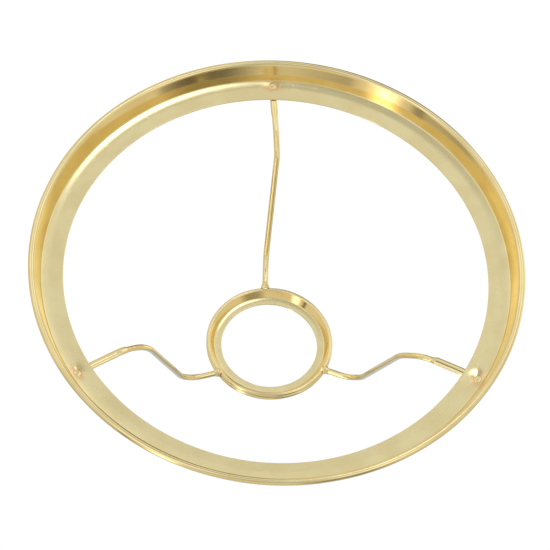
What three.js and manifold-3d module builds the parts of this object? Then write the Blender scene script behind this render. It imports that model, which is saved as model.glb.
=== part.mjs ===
// Lampshade ring on a wire tripod. A rolled sheet-metal rim seats the shade, three hand-bent wire arms
// carry it, and a small hub collar drops over the lamp's burner. Everything is rigid.
// Millimetres, +Z up. The origin is on the axis, at the underside of the hub collar's ledge.

import * as THREE from 'three';
import { mergeVertices } from 'three/addons/utils/BufferGeometryUtils.js';
import Module from 'manifold-3d';

// Overall sizes
const RIM_RADIUS = 133; // outside of the rim's rolled bead
const OVERALL_HEIGHT = 83.6; // hub underside to the top of the rim's bead

// Rim: a flat flange, a wall that leans outwards, and a bead rolled round its top edge
const RIM_SHEET = 0.8;
const RIM_BEAD_DIAMETER = 3.8;
const RIM_WALL_RUN = 7; // from the outside of the bead in to the crease at the foot of the wall
const RIM_DEPTH = 11.5; // from the top of the bead down to the flange's top face
const RIM_FLANGE_WIDTH = 11.9; // from the crease in to the edge of the flange
const RIM_CREASE_RADIUS = 0.6; // inside of the bend at the crease

// Hub collar: the same form as the rim, small enough to sit on a burner
const HUB_RADIUS = 34.5; // outside of the collar's rolled bead
const HUB_SHEET = 0.8;
const HUB_BEAD_DIAMETER = 2.4;
const HUB_WALL_RUN = 4.2;
const HUB_LEDGE_WIDTH = 4.1;
const HUB_CREASE_RADIUS = 0.5;

// Hub hoop: a closed wire ring that lies straight under the collar's bead
const HOOP_WIRE_DIAMETER = 2.5;
const HOOP_DROP = 0.45; // clear space between the collar's bead and the hoop
const HOOP_LIFT = 0.05; // the hoop's underside stays this far above the collar's, which the part stands on

// Arms: round wire with the outer end flattened into an eye
const ARM_WIRE_DIAMETER = 3.2;
const ARM_REACH = 40.4; // from the rivet in to the corner where the arm turns down
const ARM_SHOULDER_RADIUS = 24.8; // bend at that corner
const ARM_FOOT_LENGTH = 19.3; // from the corner where the leg levels out to the inner tip
const ARM_FOOT_RISE = 1.8; // how far the foot climbs from the tip to that corner
const ARM_ANKLE_RADIUS = 17; // bend at that corner
const ARM_TIP_LIFT = 0.4; // height of the tip's centre above the centre of the collar's bead
const ARM_TIP_ENTRY = 0.7; // how far the tip reaches in past the outside of the collar's bead
const EYE_RADIUS = 3.4;
const EYE_THICKNESS = 1.5;
const EYE_NECK_LENGTH = 20; // from the rivet to where the flattened part ends
const EYE_WIRE_START = 5; // from the rivet to the end of the round wire, inside the neck

// Rivets
const RIVET_INSET = 3.3; // from the crease in to the rivet's axis
const RIVET_SHANK_DIAMETER = 2.4;
const RIVET_HEAD_RADIUS = 2.3;
const RIVET_HEAD_HEIGHT = 0.9;
const RIVET_CROWN_SHARE = 0.7; // of a head's radius is taken by its flat crown
const RIVET_DIMPLE_RADIUS = 0.7;
const RIVET_DIMPLE_DEPTH = 0.35;
const RIVET_TAIL_RADIUS = 2.1;
const RIVET_TAIL_HEIGHT = 0.7;

// Brazing fillets round the arms' inner tips
const BRAZE_ROOT_THICKNESS = 0.9; // of the filler metal at the hub
const BRAZE_TOE_THICKNESS = 0.25; // of the filler metal at its outer end
const BRAZE_LENGTH = 2.6;
const BRAZE_HOLLOW = 0.25; // how far the fillet's outside curves in from a straight cone

const FIT_GAP = 0.3; // clear space left between two pieces that touch
const CUT_OVERRUN = 1; // how far a cutting tool runs past the face that it cuts

// The arms, anticlockwise from the rear seen from above. `wander` is how far each hand-bent wire strays
// sideways from its radial plane, anticlockwise positive, at the flange's edge, the shoulder, the ankle
// and the tip.
const ARMS = [
  { side: 'rear', azimuth: 90, wander: [-0.5, -2.2, 1.3, 1.9] },
  { side: 'left', azimuth: 210, wander: [-1.5, -1.4, -0.5, 3.4] },
  { side: 'right', azimuth: 330, wander: [0.65, -1.9, 2, -0.3] },
];

// Facet counts
const RIM_SEGMENTS = 72;
const HUB_SEGMENTS = 48;
const SMALL_SEGMENTS = 16;
const ARC_STEP = THREE.MathUtils.degToRad(30); // longest arc taken by one side of an outline
const ARM_STEPS = 46;
const WIRE_SIDES = 10;

// Places worked out from the sizes
const rimBeadRadius = RIM_BEAD_DIAMETER / 2;
const creaseRadius = RIM_RADIUS - RIM_WALL_RUN;
const flangeHoleRadius = creaseRadius - RIM_FLANGE_WIDTH;
const flangeTop = OVERALL_HEIGHT - RIM_DEPTH;
const flangeUnderside = flangeTop - RIM_SHEET;

const hubBeadRadius = HUB_BEAD_DIAMETER / 2;
const hoopWireRadius = HOOP_WIRE_DIAMETER / 2;
const hoopHeight = HOOP_LIFT + hoopWireRadius;
const hubBeadHeight = hoopHeight + hoopWireRadius + HOOP_DROP + hubBeadRadius;
const hubBeadCentre = new THREE.Vector2(HUB_RADIUS - hubBeadRadius, hubBeadHeight);

const wireRadius = ARM_WIRE_DIAMETER / 2;
const rivetRadius = creaseRadius - RIVET_INSET;
const shankRadius = RIVET_SHANK_DIAMETER / 2;
const armTop = flangeUnderside - FIT_GAP;
const armHeight = armTop - wireRadius;
const eyeUnderside = armTop - EYE_THICKNESS;
const tipRadius = HUB_RADIUS - ARM_TIP_ENTRY;
const tipHeight = hubBeadCentre.y + ARM_TIP_LIFT;
const shoulder = new THREE.Vector2(rivetRadius - ARM_REACH, armHeight);
const ankle = new THREE.Vector2(tipRadius + ARM_FOOT_LENGTH, tipHeight + ARM_FOOT_RISE);

const wasm = await Module();
wasm.setup();

// Outlines

function directionBetween(from, to) {
  return new THREE.Vector2().subVectors(to, from).normalize();
}

// Runs the path towards `corner`, turns it there with an arc of the given radius, and aims it at `next`.
function roundCorner(path, corner, next, radius) {
  const back = directionBetween(corner, path.currentPoint);
  const ahead = directionBetween(corner, next);
  const halfAngle = Math.acos(back.dot(ahead)) / 2;
  const setback = radius / Math.tan(halfAngle);
  const start = corner.clone().addScaledVector(back, setback);
  const end = corner.clone().addScaledVector(ahead, setback);
  const inward = back.clone().add(ahead).normalize();
  const centre = corner.clone().addScaledVector(inward, radius / Math.sin(halfAngle));
  const clockwise = back.cross(ahead) > 0;
  const startAngle = Math.atan2(start.y - centre.y, start.x - centre.x);
  const endAngle = Math.atan2(end.y - centre.y, end.x - centre.x);
  path.lineTo(start.x, start.y);
  path.absarc(centre.x, centre.y, radius, startAngle, endAngle, clockwise);
}

// Points along a path: one for each end of a straight side, and more round each arc.
function outlinePoints(path) {
  const points = [path.curves[0].getPoint(0)];
  for (const curve of path.curves) {
    const sides = curve.isEllipseCurve ? Math.ceil(curve.getLength() / (curve.xRadius * ARC_STEP)) : 1;
    for (let i = 1; i <= sides; i += 1) {
      points.push(curve.getPoint(i / sides));
    }
  }
  return points.filter((point, i) => i === 0 || point.distanceTo(points[i - 1]) > 1e-6);
}

// Half section of a ring formed from sheet: a flat inner ledge, a leaning wall, and a bead rolled outwards
// round the wall's top. x is the distance from the axis and y the height.
function beadedRingSection({ holeRadius, crease, beadCentre, beadRadius, sheet, bend }) {
  const reach = new THREE.Vector2().subVectors(beadCentre, crease);
  const lean = reach.angle() + Math.asin(beadRadius / reach.length());
  const innerTouch = lean + Math.PI / 2;
  const outerTouch = innerTouch + Math.acos((beadRadius - sheet) / beadRadius);
  const wallTop = pointOnCircle(beadCentre, beadRadius, innerTouch);
  const wallBack = pointOnCircle(beadCentre, beadRadius, outerTouch);
  const heelHeight = crease.y - sheet;
  const heel = new THREE.Vector2(wallBack.x - (wallBack.y - heelHeight) / Math.tan(lean), heelHeight);
  const ledgeEdge = new THREE.Vector2(holeRadius, crease.y);

  const path = new THREE.Path();
  path.moveTo(holeRadius, heelHeight);
  roundCorner(path, heel, wallBack, bend + sheet);
  path.lineTo(wallBack.x, wallBack.y);
  path.absarc(beadCentre.x, beadCentre.y, beadRadius, outerTouch - 2 * Math.PI, innerTouch, false);
  path.currentPoint.copy(wallTop);
  roundCorner(path, crease, ledgeEdge, bend);
  path.lineTo(ledgeEdge.x, ledgeEdge.y);
  path.lineTo(holeRadius, heelHeight);
  return outlinePoints(path);
}

function pointOnCircle(centre, radius, angle) {
  return new THREE.Vector2(centre.x + radius * Math.cos(angle), centre.y + radius * Math.sin(angle));
}

// Solids

// Turns a half section round the Z axis.
function turned(section, segments) {
  return new THREE.LatheGeometry(section, segments).rotateX(Math.PI / 2);
}

function sweptWire(curve, radius, steps) {
  const section = new THREE.Shape();
  for (let i = 0; i < WIRE_SIDES; i += 1) {
    const angle = (2 * Math.PI * (i + 0.5)) / WIRE_SIDES;
    const corner = pointOnCircle(new THREE.Vector2(), radius, angle);
    if (i === 0) {
      section.moveTo(corner.x, corner.y);
    } else {
      section.lineTo(corner.x, corner.y);
    }
  }
  section.closePath();
  return new THREE.ExtrudeGeometry(section, { steps, extrudePath: curve, bevelEnabled: false });
}

function toManifold(geometry) {
  const bare = geometry.clone();
  bare.deleteAttribute('normal');
  bare.deleteAttribute('uv');
  const merged = mergeVertices(bare, 1e-4);
  return new wasm.Manifold(new wasm.Mesh({
    numProp: 3,
    vertProperties: new Float32Array(merged.attributes.position.array),
    triVerts: new Uint32Array(merged.index.array),
  }));
}

function toGeometry(manifold) {
  const { vertProperties, triVerts } = manifold.getMesh();
  const geometry = new THREE.BufferGeometry();
  geometry.setAttribute('position', new THREE.BufferAttribute(vertProperties, 3));
  geometry.setIndex(new THREE.BufferAttribute(triVerts, 1));
  geometry.computeVertexNormals();
  return geometry;
}

function cutAway(geometry, tools) {
  const remainder = tools.reduce((solid, tool) => solid.subtract(toManifold(tool)), toManifold(geometry));
  return toGeometry(remainder);
}

// The same tool at each arm's azimuth.
function atEachArm(makeTool) {
  return ARMS.map((arm) => makeTool(arm).rotateZ(THREE.MathUtils.degToRad(arm.azimuth)));
}

// Materials

function platedBrass(colour, roughness) {
  return new THREE.MeshStandardMaterial({ color: colour, roughness, metalness: 1 });
}

function piece(name, geometry, material) {
  const mesh = new THREE.Mesh(geometry, material);
  mesh.name = name;
  return mesh;
}

// Sub-parts

// One hole runs through the flange and the eye below it.
function rivetHoleTool() {
  const radius = shankRadius + FIT_GAP;
  const height = flangeTop - eyeUnderside + 2 * CUT_OVERRUN;
  return new THREE.CylinderGeometry(radius, radius, height, SMALL_SEGMENTS)
    .rotateX(Math.PI / 2)
    .translate(rivetRadius, 0, (flangeTop + eyeUnderside) / 2);
}

function makeRim() {
  const section = beadedRingSection({
    holeRadius: flangeHoleRadius,
    crease: new THREE.Vector2(creaseRadius, flangeTop),
    beadCentre: new THREE.Vector2(RIM_RADIUS - rimBeadRadius, OVERALL_HEIGHT - rimBeadRadius),
    beadRadius: rimBeadRadius,
    sheet: RIM_SHEET,
    bend: RIM_CREASE_RADIUS,
  });
  const geometry = cutAway(turned(section, RIM_SEGMENTS), atEachArm(rivetHoleTool));
  return piece('rim_ring', geometry, platedBrass(0xd8c68c, 0.16));
}

// The centre line of an arm in its own frame: X points outwards from the axis and Y anticlockwise.
class ArmLine extends THREE.Curve {
  constructor(start, wander) {
    super();
    this.stations = [tipRadius, ankle.x, shoulder.x, flangeHoleRadius, rivetRadius];
    this.offsets = [...wander].reverse().concat(0);
    this.profile = new THREE.Path();
    this.profile.moveTo(start, armHeight);
    roundCorner(this.profile, shoulder, ankle, ARM_SHOULDER_RADIUS);
    roundCorner(this.profile, ankle, new THREE.Vector2(tipRadius, tipHeight), ARM_ANKLE_RADIUS);
    this.profile.lineTo(tipRadius, tipHeight);
  }

  sideways(radius) {
    let i = 0;
    while (i < this.stations.length - 2 && radius > this.stations[i + 1]) {
      i += 1;
    }
    const share = (radius - this.stations[i]) / (this.stations[i + 1] - this.stations[i]);
    return THREE.MathUtils.lerp(this.offsets[i], this.offsets[i + 1], share);
  }

  getPoint(t, target = new THREE.Vector3()) {
    const place = this.profile.getPoint(t);
    return target.set(place.x, this.sideways(place.x), place.y);
  }

  // A point on the straight run between the tip and the ankle.
  pointAtRadius(radius) {
    const height = tipHeight + ((radius - tipRadius) * ARM_FOOT_RISE) / ARM_FOOT_LENGTH;
    return new THREE.Vector3(radius, this.sideways(radius), height);
  }
}

// The flattened outer end: a round eye and a neck that narrows to the width of the wire and follows it.
function eyePlate(line) {
  const neckEnd = rivetRadius - EYE_NECK_LENGTH;
  const neckShift = line.sideways(neckEnd);
  const neckAngle = Math.atan2(-neckShift, EYE_NECK_LENGTH);
  const shape = new THREE.Shape();
  shape.moveTo(-EYE_NECK_LENGTH, -wireRadius);
  shape.absarc(0, 0, EYE_RADIUS, -Math.PI / 2, Math.PI / 2, false);
  shape.lineTo(-EYE_NECK_LENGTH, wireRadius);
  shape.closePath();
  const plate = new THREE.ExtrudeGeometry(shape, {
    depth: EYE_THICKNESS,
    bevelEnabled: false,
    curveSegments: SMALL_SEGMENTS / 2,
  });
  return plate.rotateZ(neckAngle).translate(rivetRadius, 0, eyeUnderside);
}

function makeArm(arm) {
  const line = new ArmLine(rivetRadius - EYE_WIRE_START, arm.wander);
  const wire = toManifold(sweptWire(line, wireRadius, ARM_STEPS));
  const body = wire.add(toManifold(eyePlate(line)));
  const pierced = body.subtract(toManifold(rivetHoleTool()));
  const mesh = piece(`arm_${arm.side}`, toGeometry(pierced), platedBrass(0xe0cc92, 0.12));
  mesh.rotation.z = THREE.MathUtils.degToRad(arm.azimuth);
  return mesh;
}

function makeRivet(arm) {
  const headBase = flangeTop + FIT_GAP;
  const headTop = headBase + RIVET_HEAD_HEIGHT;
  const headEdge = headBase + RIVET_HEAD_HEIGHT / 2;
  const tailTop = eyeUnderside - FIT_GAP;
  const tailEdge = tailTop - RIVET_TAIL_HEIGHT / 2;
  const tailBottom = tailTop - RIVET_TAIL_HEIGHT;
  const section = [
    [0, tailBottom],
    [RIVET_TAIL_RADIUS * RIVET_CROWN_SHARE, tailBottom],
    [RIVET_TAIL_RADIUS, tailEdge],
    [RIVET_TAIL_RADIUS, tailTop],
    [shankRadius, tailTop],
    [shankRadius, headBase],
    [RIVET_HEAD_RADIUS, headBase],
    [RIVET_HEAD_RADIUS, headEdge],
    [RIVET_HEAD_RADIUS * RIVET_CROWN_SHARE, headTop],
    [RIVET_DIMPLE_RADIUS, headTop],
    [0, headTop - RIVET_DIMPLE_DEPTH],
  ].map(([x, y]) => new THREE.Vector2(x, y));
  const mesh = piece(`rivet_${arm.side}`, turned(section, SMALL_SEGMENTS), platedBrass(0xd6b878, 0.2));
  const azimuth = THREE.MathUtils.degToRad(arm.azimuth);
  mesh.position.set(rivetRadius * Math.cos(azimuth), rivetRadius * Math.sin(azimuth), 0);
  return mesh;
}

// The bead is notched where each arm's tip is let into it.
function tipNotchTool(arm) {
  return sweptWire(new ArmLine(rivetRadius, arm.wander), wireRadius + FIT_GAP, ARM_STEPS)
    .translate(-FIT_GAP, 0, 0);
}

function makeHubCollar() {
  const section = beadedRingSection({
    holeRadius: HUB_RADIUS - HUB_WALL_RUN - HUB_LEDGE_WIDTH,
    crease: new THREE.Vector2(HUB_RADIUS - HUB_WALL_RUN, HUB_SHEET),
    beadCentre: hubBeadCentre,
    beadRadius: hubBeadRadius,
    sheet: HUB_SHEET,
    bend: HUB_CREASE_RADIUS,
  });
  const geometry = cutAway(turned(section, HUB_SEGMENTS), atEachArm(tipNotchTool));
  return piece('hub_collar', geometry, platedBrass(0xdcc887, 0.14));
}

// A closed ring of round section, centred over the collar's bead.
function roundRing(height, radius) {
  const path = new THREE.Path();
  path.absarc(hubBeadCentre.x, height, radius, 0, 2 * Math.PI, false);
  return turned(outlinePoints(path), HUB_SEGMENTS);
}

function makeHubHoop() {
  return piece('hub_hoop', roundRing(hoopHeight, hoopWireRadius), platedBrass(0xdcc887, 0.14));
}

// A concave collar of filler metal round the wire, run up against the bead and the hoop.
function makeBraze(arm) {
  const bore = wireRadius + FIT_GAP;
  const root = bore + BRAZE_ROOT_THICKNESS;
  const toe = bore + BRAZE_TOE_THICKNESS;
  const section = [
    [bore, 0],
    [root, 0],
    [(root + toe) / 2 - BRAZE_HOLLOW, BRAZE_LENGTH / 2],
    [toe, BRAZE_LENGTH],
    [bore, BRAZE_LENGTH],
    [bore, 0],
  ].map(([x, y]) => new THREE.Vector2(x, y));
  const line = new ArmLine(rivetRadius, arm.wander);
  const start = line.pointAtRadius(HUB_RADIUS);
  const along = line.pointAtRadius(HUB_RADIUS + BRAZE_LENGTH).sub(start).normalize();
  const turn = new THREE.Quaternion().setFromUnitVectors(new THREE.Vector3(0, 0, 1), along);
  const azimuth = THREE.MathUtils.degToRad(arm.azimuth);
  const collar = turned(section, SMALL_SEGMENTS)
    .applyQuaternion(turn)
    .translate(start.x, start.y, start.z)
    .rotateZ(azimuth);
  const geometry = cutAway(collar, [
    roundRing(hubBeadCentre.y, hubBeadRadius + FIT_GAP),
    roundRing(hoopHeight, hoopWireRadius + FIT_GAP),
  ]);
  return piece(`braze_${arm.side}`, geometry, platedBrass(0xe2cf97, 0.25));
}

const shadeHolder = new THREE.Group();
shadeHolder.add(makeRim(), makeHubCollar(), makeHubHoop());
for (const arm of ARMS) {
  shadeHolder.add(makeArm(arm), makeRivet(arm), makeBraze(arm));
}

export default shadeHolder;
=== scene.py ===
"""Lampshade ring on a wire tripod, in pale plated brass.

A rolled rim with a flat flange seats the shade. Three hand-bent wire arms are riveted under the flange
and brazed to a small beaded collar, which has a wire hoop under its bead. Lengths are in metres.
"""

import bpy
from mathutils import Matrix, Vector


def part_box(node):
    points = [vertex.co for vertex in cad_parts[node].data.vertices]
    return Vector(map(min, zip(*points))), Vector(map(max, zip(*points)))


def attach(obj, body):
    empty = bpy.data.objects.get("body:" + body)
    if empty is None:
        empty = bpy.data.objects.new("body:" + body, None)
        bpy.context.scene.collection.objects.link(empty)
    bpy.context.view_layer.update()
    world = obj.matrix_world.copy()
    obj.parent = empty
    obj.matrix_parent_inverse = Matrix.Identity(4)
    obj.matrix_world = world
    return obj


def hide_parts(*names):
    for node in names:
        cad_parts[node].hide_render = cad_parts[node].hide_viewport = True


bl_info = {
    "name": "Wire Tripod Shade Ring",
    "version": (1, 0, 0),
    "blender": (4, 5, 0),
    "location": "View3D > Sidebar > Shade Ring",
    "description": "Makes a brass shade ring: rolled rim, hub collar and hoop, wire arms, rivets and brazing",
    "category": "Object",
}

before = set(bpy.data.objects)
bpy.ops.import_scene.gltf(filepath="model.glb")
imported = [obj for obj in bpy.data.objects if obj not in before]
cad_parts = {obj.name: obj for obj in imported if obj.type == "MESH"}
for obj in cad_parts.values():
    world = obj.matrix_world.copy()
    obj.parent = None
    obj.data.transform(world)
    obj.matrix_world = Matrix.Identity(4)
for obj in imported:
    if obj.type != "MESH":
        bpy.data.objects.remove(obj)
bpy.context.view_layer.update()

import math

import bmesh
import bpy
import numpy as np
from mathutils import Matrix, Vector, noise

RIM_LOW, RIM_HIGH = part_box("rim_ring")
HUB_LOW, HUB_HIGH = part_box("hub_collar")
HOOP_LOW, HOOP_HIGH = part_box("hub_hoop")

MM = 0.001
TURN = 2 * math.pi
ARC_STEP = math.radians(9)
SMOOTH_SIDE = 0.9 * MM  # longest straight side of a section
SUPPORT = 0.12 * MM  # a side has points this close to its ends, which keeps the shading of a bend off it
WELD = 0.002 * MM
ROLL_GAP = 0.12 * MM  # between the rolled edge of the sheet and the wall behind it
EDGE_ROUNDING = 0.36  # how far a cut edge is rounded, as a share of the sheet's thickness
DISH_REACH = 3.7 * MM  # how far out from its rivet a dish fades to about a third
DISH_FADE = 3 * MM  # height over the flange at which the wall no longer feels a dish
FIT_INSET = 0.7 * MM  # from the outside of the hub's bead in to where the foot is measured from

RIM_STEPS = 432
HUB_STEPS = 240
RIVET_STEPS = 48
WIRE_SIDES = 28
WIRE_STEP = 0.45 * MM
WIRE_SOFTENING = 10  # steps of the wire each way that a sideways kink is spread over

# How a wire's outer end was worked
JAW_SLOPE = 1.5 * MM  # the step that the jaws left is this long each way
PRESSED_REACH = 4 * MM  # further than this past the jaws the wire stays as drawn
EYE_FLAT = 2.5 * MM  # the wire is hammered flat to this far in from the rivet
EYE_EDGE = 0.6 * MM  # width of the rounded edge at the eye's outer end
EYE_BOXINESS = 0.45  # 1 would keep a round section, and less gives fuller corners

# The arms, anticlockwise from the rear seen from above, in degrees and millimetres. `offsets` says how far
# each hand-bent wire strays sideways from its radial plane, anticlockwise positive, at the tip, the ankle,
# the shoulder and the flange's edge. The wire is on the plane again at its rivet. The outer end was pressed
# in a vice before the eye was hammered: `press` is the distance from the rivet to the end of the jaws, and
# `spread` the half width that the wire took between them. `dish` is how deep the blow that set the rivet
# sank it into the flange.
ARMS = {
    "rear": {"azimuth": 90, "offsets": (1.9, 1.3, -2.2, -0.5), "press": 17, "spread": 1.9, "dish": 0.1},
    "left": {"azimuth": 210, "offsets": (3.4, -0.5, -1.4, -1.5), "press": 31, "spread": 2.1, "dish": 0.34},
    "right": {"azimuth": 330, "offsets": (-0.3, 2.0, -1.9, 0.65), "press": 26, "spread": 2.35, "dish": 0.56},
}


# Settings


def length(name, description, default):
    return bpy.props.FloatProperty(
        name=name, description=description, default=default, min=0, unit="LENGTH", precision=5
    )


def angle(name, description, degrees):
    return bpy.props.FloatProperty(
        name=name, description=description, default=math.radians(degrees), subtype="ANGLE"
    )


def colour(name, description, default):
    return bpy.props.FloatVectorProperty(
        name=name, description=description, default=default, min=0, max=1, size=3, subtype="COLOR"
    )


def share(name, description, default):
    return bpy.props.FloatProperty(
        name=name, description=description, default=default, min=0, max=1, subtype="FACTOR"
    )


class RimSizes(bpy.types.PropertyGroup):
    """The rim that seats the shade."""

    radius: length("Radius", "Outside of the rolled bead", RIM_HIGH.x)
    top: length("Top", "Height of the top of the bead", RIM_HIGH.z)
    depth: length("Depth", "From the top of the bead down to the flange", 11.5 * MM)
    sheet: length("Sheet", "Thickness of the sheet", RIM_HIGH.z - 11.5 * MM - RIM_LOW.z)
    bead: length("Bead", "Diameter of the rolled bead", 3.8 * MM)
    wall_run: length("Wall run", "From the outside of the bead in to the crease", 7 * MM)
    ledge_width: length("Flange width", "From the crease in to the edge of the flange", 11.9 * MM)
    bend: length("Crease bend", "Inside radius of the bend at the crease", 0.6 * MM)
    rise: length("Rise", "How far the flange climbs to the crease", 0.45 * MM)
    rise_width: length("Rise width", "Width of the part of the flange that climbs", 6.5 * MM)


class HubSizes(bpy.types.PropertyGroup):
    """The collar that drops over the lamp's burner, and the hoop under its bead."""

    radius: length("Radius", "Outside of the rolled bead", HUB_HIGH.x)
    top: length("Top", "Height of the top of the bead", HUB_HIGH.z)
    depth: length("Depth", "From the top of the bead down to the ledge", HUB_HIGH.z - 0.8 * MM)
    sheet: length("Sheet", "Thickness of the sheet", 0.8 * MM)
    bead: length("Bead", "Diameter of the rolled bead", 2.4 * MM)
    wall_run: length("Wall run", "From the outside of the bead in to the crease", 4.2 * MM)
    ledge_width: length("Ledge width", "From the crease in to the edge of the ledge", 4.1 * MM)
    bend: length("Crease bend", "Inside radius of the bend at the crease", 0.5 * MM)
    rise: length("Rise", "How far the ledge climbs to the crease", 0.15 * MM)
    rise_width: length("Rise width", "Width of the part of the ledge that climbs", 2.5 * MM)
    hoop_wire: length("Hoop wire", "Diameter of the hoop's wire", HOOP_HIGH.z - HOOP_LOW.z)
    hoop_height: length("Hoop height", "Height of the hoop's centre", (HOOP_HIGH.z + HOOP_LOW.z) / 2)


class ArmSizes(bpy.types.PropertyGroup):
    """The three wire arms, which are alike apart from the way each was bent by hand."""

    wire: length("Wire", "Diameter of the wire", 3.2 * MM)
    reach: length("Reach", "From the rivet in to the corner where the arm turns down", 40.4 * MM)
    shoulder_bend: length("Shoulder bend", "Radius of the bend at that corner", 24.8 * MM)
    foot: length("Foot", "From the corner where the leg levels out to the tip", 19.3 * MM)
    foot_rise: length("Foot rise", "How far the foot climbs from the tip to that corner", 1.8 * MM)
    ankle_bend: length("Ankle bend", "Radius of the bend at that corner", 17 * MM)
    tip_lift: length("Tip lift", "Height of the tip over the centre of the collar's bead", 0.4 * MM)
    tip_entry: length("Tip entry", "How far the tip reaches in past the outside of the bead", 1.6 * MM)
    eye: length("Eye", "Radius of the flattened eye", 3.4 * MM)
    eye_thickness: length("Eye thickness", "Thickness of the flattened eye", 1.5 * MM)
    neck: length("Neck", "From the rivet to where the flattening ends", 8.5 * MM)
    gap: length("Gap", "Between the flange and the arm under it", 0.06 * MM)


class RivetSizes(bpy.types.PropertyGroup):
    """The three rivets that hold the arms under the flange."""

    inset: length("Inset", "From the crease in to the rivet's centre", 3.3 * MM)
    shank: length("Shank", "Diameter of the shank", 2.4 * MM)
    head: length("Head", "Radius of the head", 2.3 * MM)
    head_height: length("Head height", "Height of the head over the flange", 0.6 * MM)
    dimple: length("Dimple", "Radius of the punch mark in the head", 0.75 * MM)
    dimple_depth: length("Dimple depth", "Depth of the punch mark", 0.4 * MM)
    tail: length("Tail", "Radius of the tail under the arm", 2.1 * MM)
    tail_height: length("Tail height", "Height of the tail", 0.7 * MM)


class BrazeSizes(bpy.types.PropertyGroup):
    """The lumps of filler metal where the arms meet the hub."""

    root: length("Root", "Thickness over the wire at the hub", 0.75 * MM)
    run: length("Length", "Length along the wire", 2.6 * MM)


class FinishLooks(bpy.types.PropertyGroup):
    """The plating."""

    brass: colour("Brass", "Colour of the clean plating", (0.88, 0.768, 0.425))
    tarnish: colour("Tarnish", "Colour of the plating in creases and old finger marks", (0.71, 0.55, 0.25))
    copper: colour("Copper", "Colour of the metal where the plating is thin", (0.80, 0.47, 0.24))
    sheet_gloss: share("Sheet roughness", "Roughness of the rolled sheet", 0.09)
    wire_gloss: share("Wire roughness", "Roughness of the drawn wire", 0.07)


class StageSizes(bpy.types.PropertyGroup):
    """The camera and the floor."""

    azimuth: angle("Azimuth", "Where the camera stands, from the front towards the right", -5.9)
    elevation: angle("Elevation", "How high the camera stands", 58.3)
    roll: angle("Roll", "How far the camera is turned about its line of sight", 5.88)
    lens: bpy.props.FloatProperty(name="Lens", description="Focal length", default=340, unit="CAMERA")
    distance: length("Distance", "From the camera to the middle of the rim", 2.774)
    aim_left: length("Aim left", "How far left of the middle of the rim the camera aims", 1.157 * MM)
    aim_down: length("Aim down", "How far below the middle of the rim the camera aims", 3.803 * MM)
    floor: length("Floor", "Width of the floor", 12)
    floor_gap: length("Floor gap", "From the floor up to the object", 0.2 * MM)


class ShadeRingSettings(bpy.types.PropertyGroup):
    """Everything that can be changed about the shade ring."""

    rim: bpy.props.PointerProperty(type=RimSizes)
    hub: bpy.props.PointerProperty(type=HubSizes)
    arm: bpy.props.PointerProperty(type=ArmSizes)
    rivet: bpy.props.PointerProperty(type=RivetSizes)
    braze: bpy.props.PointerProperty(type=BrazeSizes)
    finish: bpy.props.PointerProperty(type=FinishLooks)
    stage: bpy.props.PointerProperty(type=StageSizes)


def settings():
    return bpy.context.scene.shade_ring


# Node trees


class NodeSheet:
    """Adds nodes to a tree. Inputs are given by name or number, as a value or as the socket that feeds
    them."""

    def __init__(self, tree):
        self.tree = tree

    def add(self, kind, inputs=None, **options):
        node = self.tree.nodes.new(kind)
        for option, value in options.items():
            setattr(node, option, value)
        for key, value in (inputs or {}).items():
            self.feed(node.inputs[key], value)
        return node

    def feed(self, socket, value):
        if isinstance(value, bpy.types.NodeSocket):
            self.tree.links.new(value, socket)
        else:
            socket.default_value = value

    def math(self, operation, *values, clamp=False):
        inputs = dict(enumerate(values))
        return self.add("ShaderNodeMath", inputs, operation=operation, use_clamp=clamp).outputs[0]

    def vector(self, operation, *values):
        inputs = dict(enumerate(values))
        node = self.add("ShaderNodeVectorMath", inputs, operation=operation)
        return node.outputs["Value" if operation in ("DOT_PRODUCT", "LENGTH") else "Vector"]

    def blend(self, amount, first, second):
        """Mixes two colours."""
        inputs = {0: amount, 6: first, 7: second}
        return self.add("ShaderNodeMix", inputs, data_type="RGBA").outputs[2]

    def band(self, value, low, high, start=0.0, end=1.0):
        """Rises smoothly from start to end as the value goes from low to high."""
        inputs = {"Value": value, "From Min": low, "From Max": high, "To Min": start, "To Max": end}
        return self.add("ShaderNodeMapRange", inputs, interpolation_type="SMOOTHSTEP").outputs[0]


def new_group(kind, name, inputs, outputs):
    """An empty node group, its sheet, and its input and output nodes."""
    tree = bpy.data.node_groups.new(name, kind)
    for socket_name, socket_kind, default in inputs:
        socket = tree.interface.new_socket(socket_name, in_out="INPUT", socket_type=socket_kind)
        if default is not None:
            socket.default_value = default
    for socket_name, socket_kind in outputs:
        tree.interface.new_socket(socket_name, in_out="OUTPUT", socket_type=socket_kind)
    sheet = NodeSheet(tree)
    return tree, sheet, sheet.add("NodeGroupInput").outputs, sheet.add("NodeGroupOutput").inputs


def finish_geometry(sheet, geometry, material, result):
    smooth = sheet.add("GeometryNodeSetShadeSmooth", {"Geometry": geometry}).outputs[0]
    realized = sheet.add("GeometryNodeRealizeInstances", {"Geometry": smooth}).outputs[0]
    named = sheet.add("GeometryNodeSetMaterial", {"Geometry": realized, "Material": material})
    sheet.feed(result["Geometry"], named.outputs[0])


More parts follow.
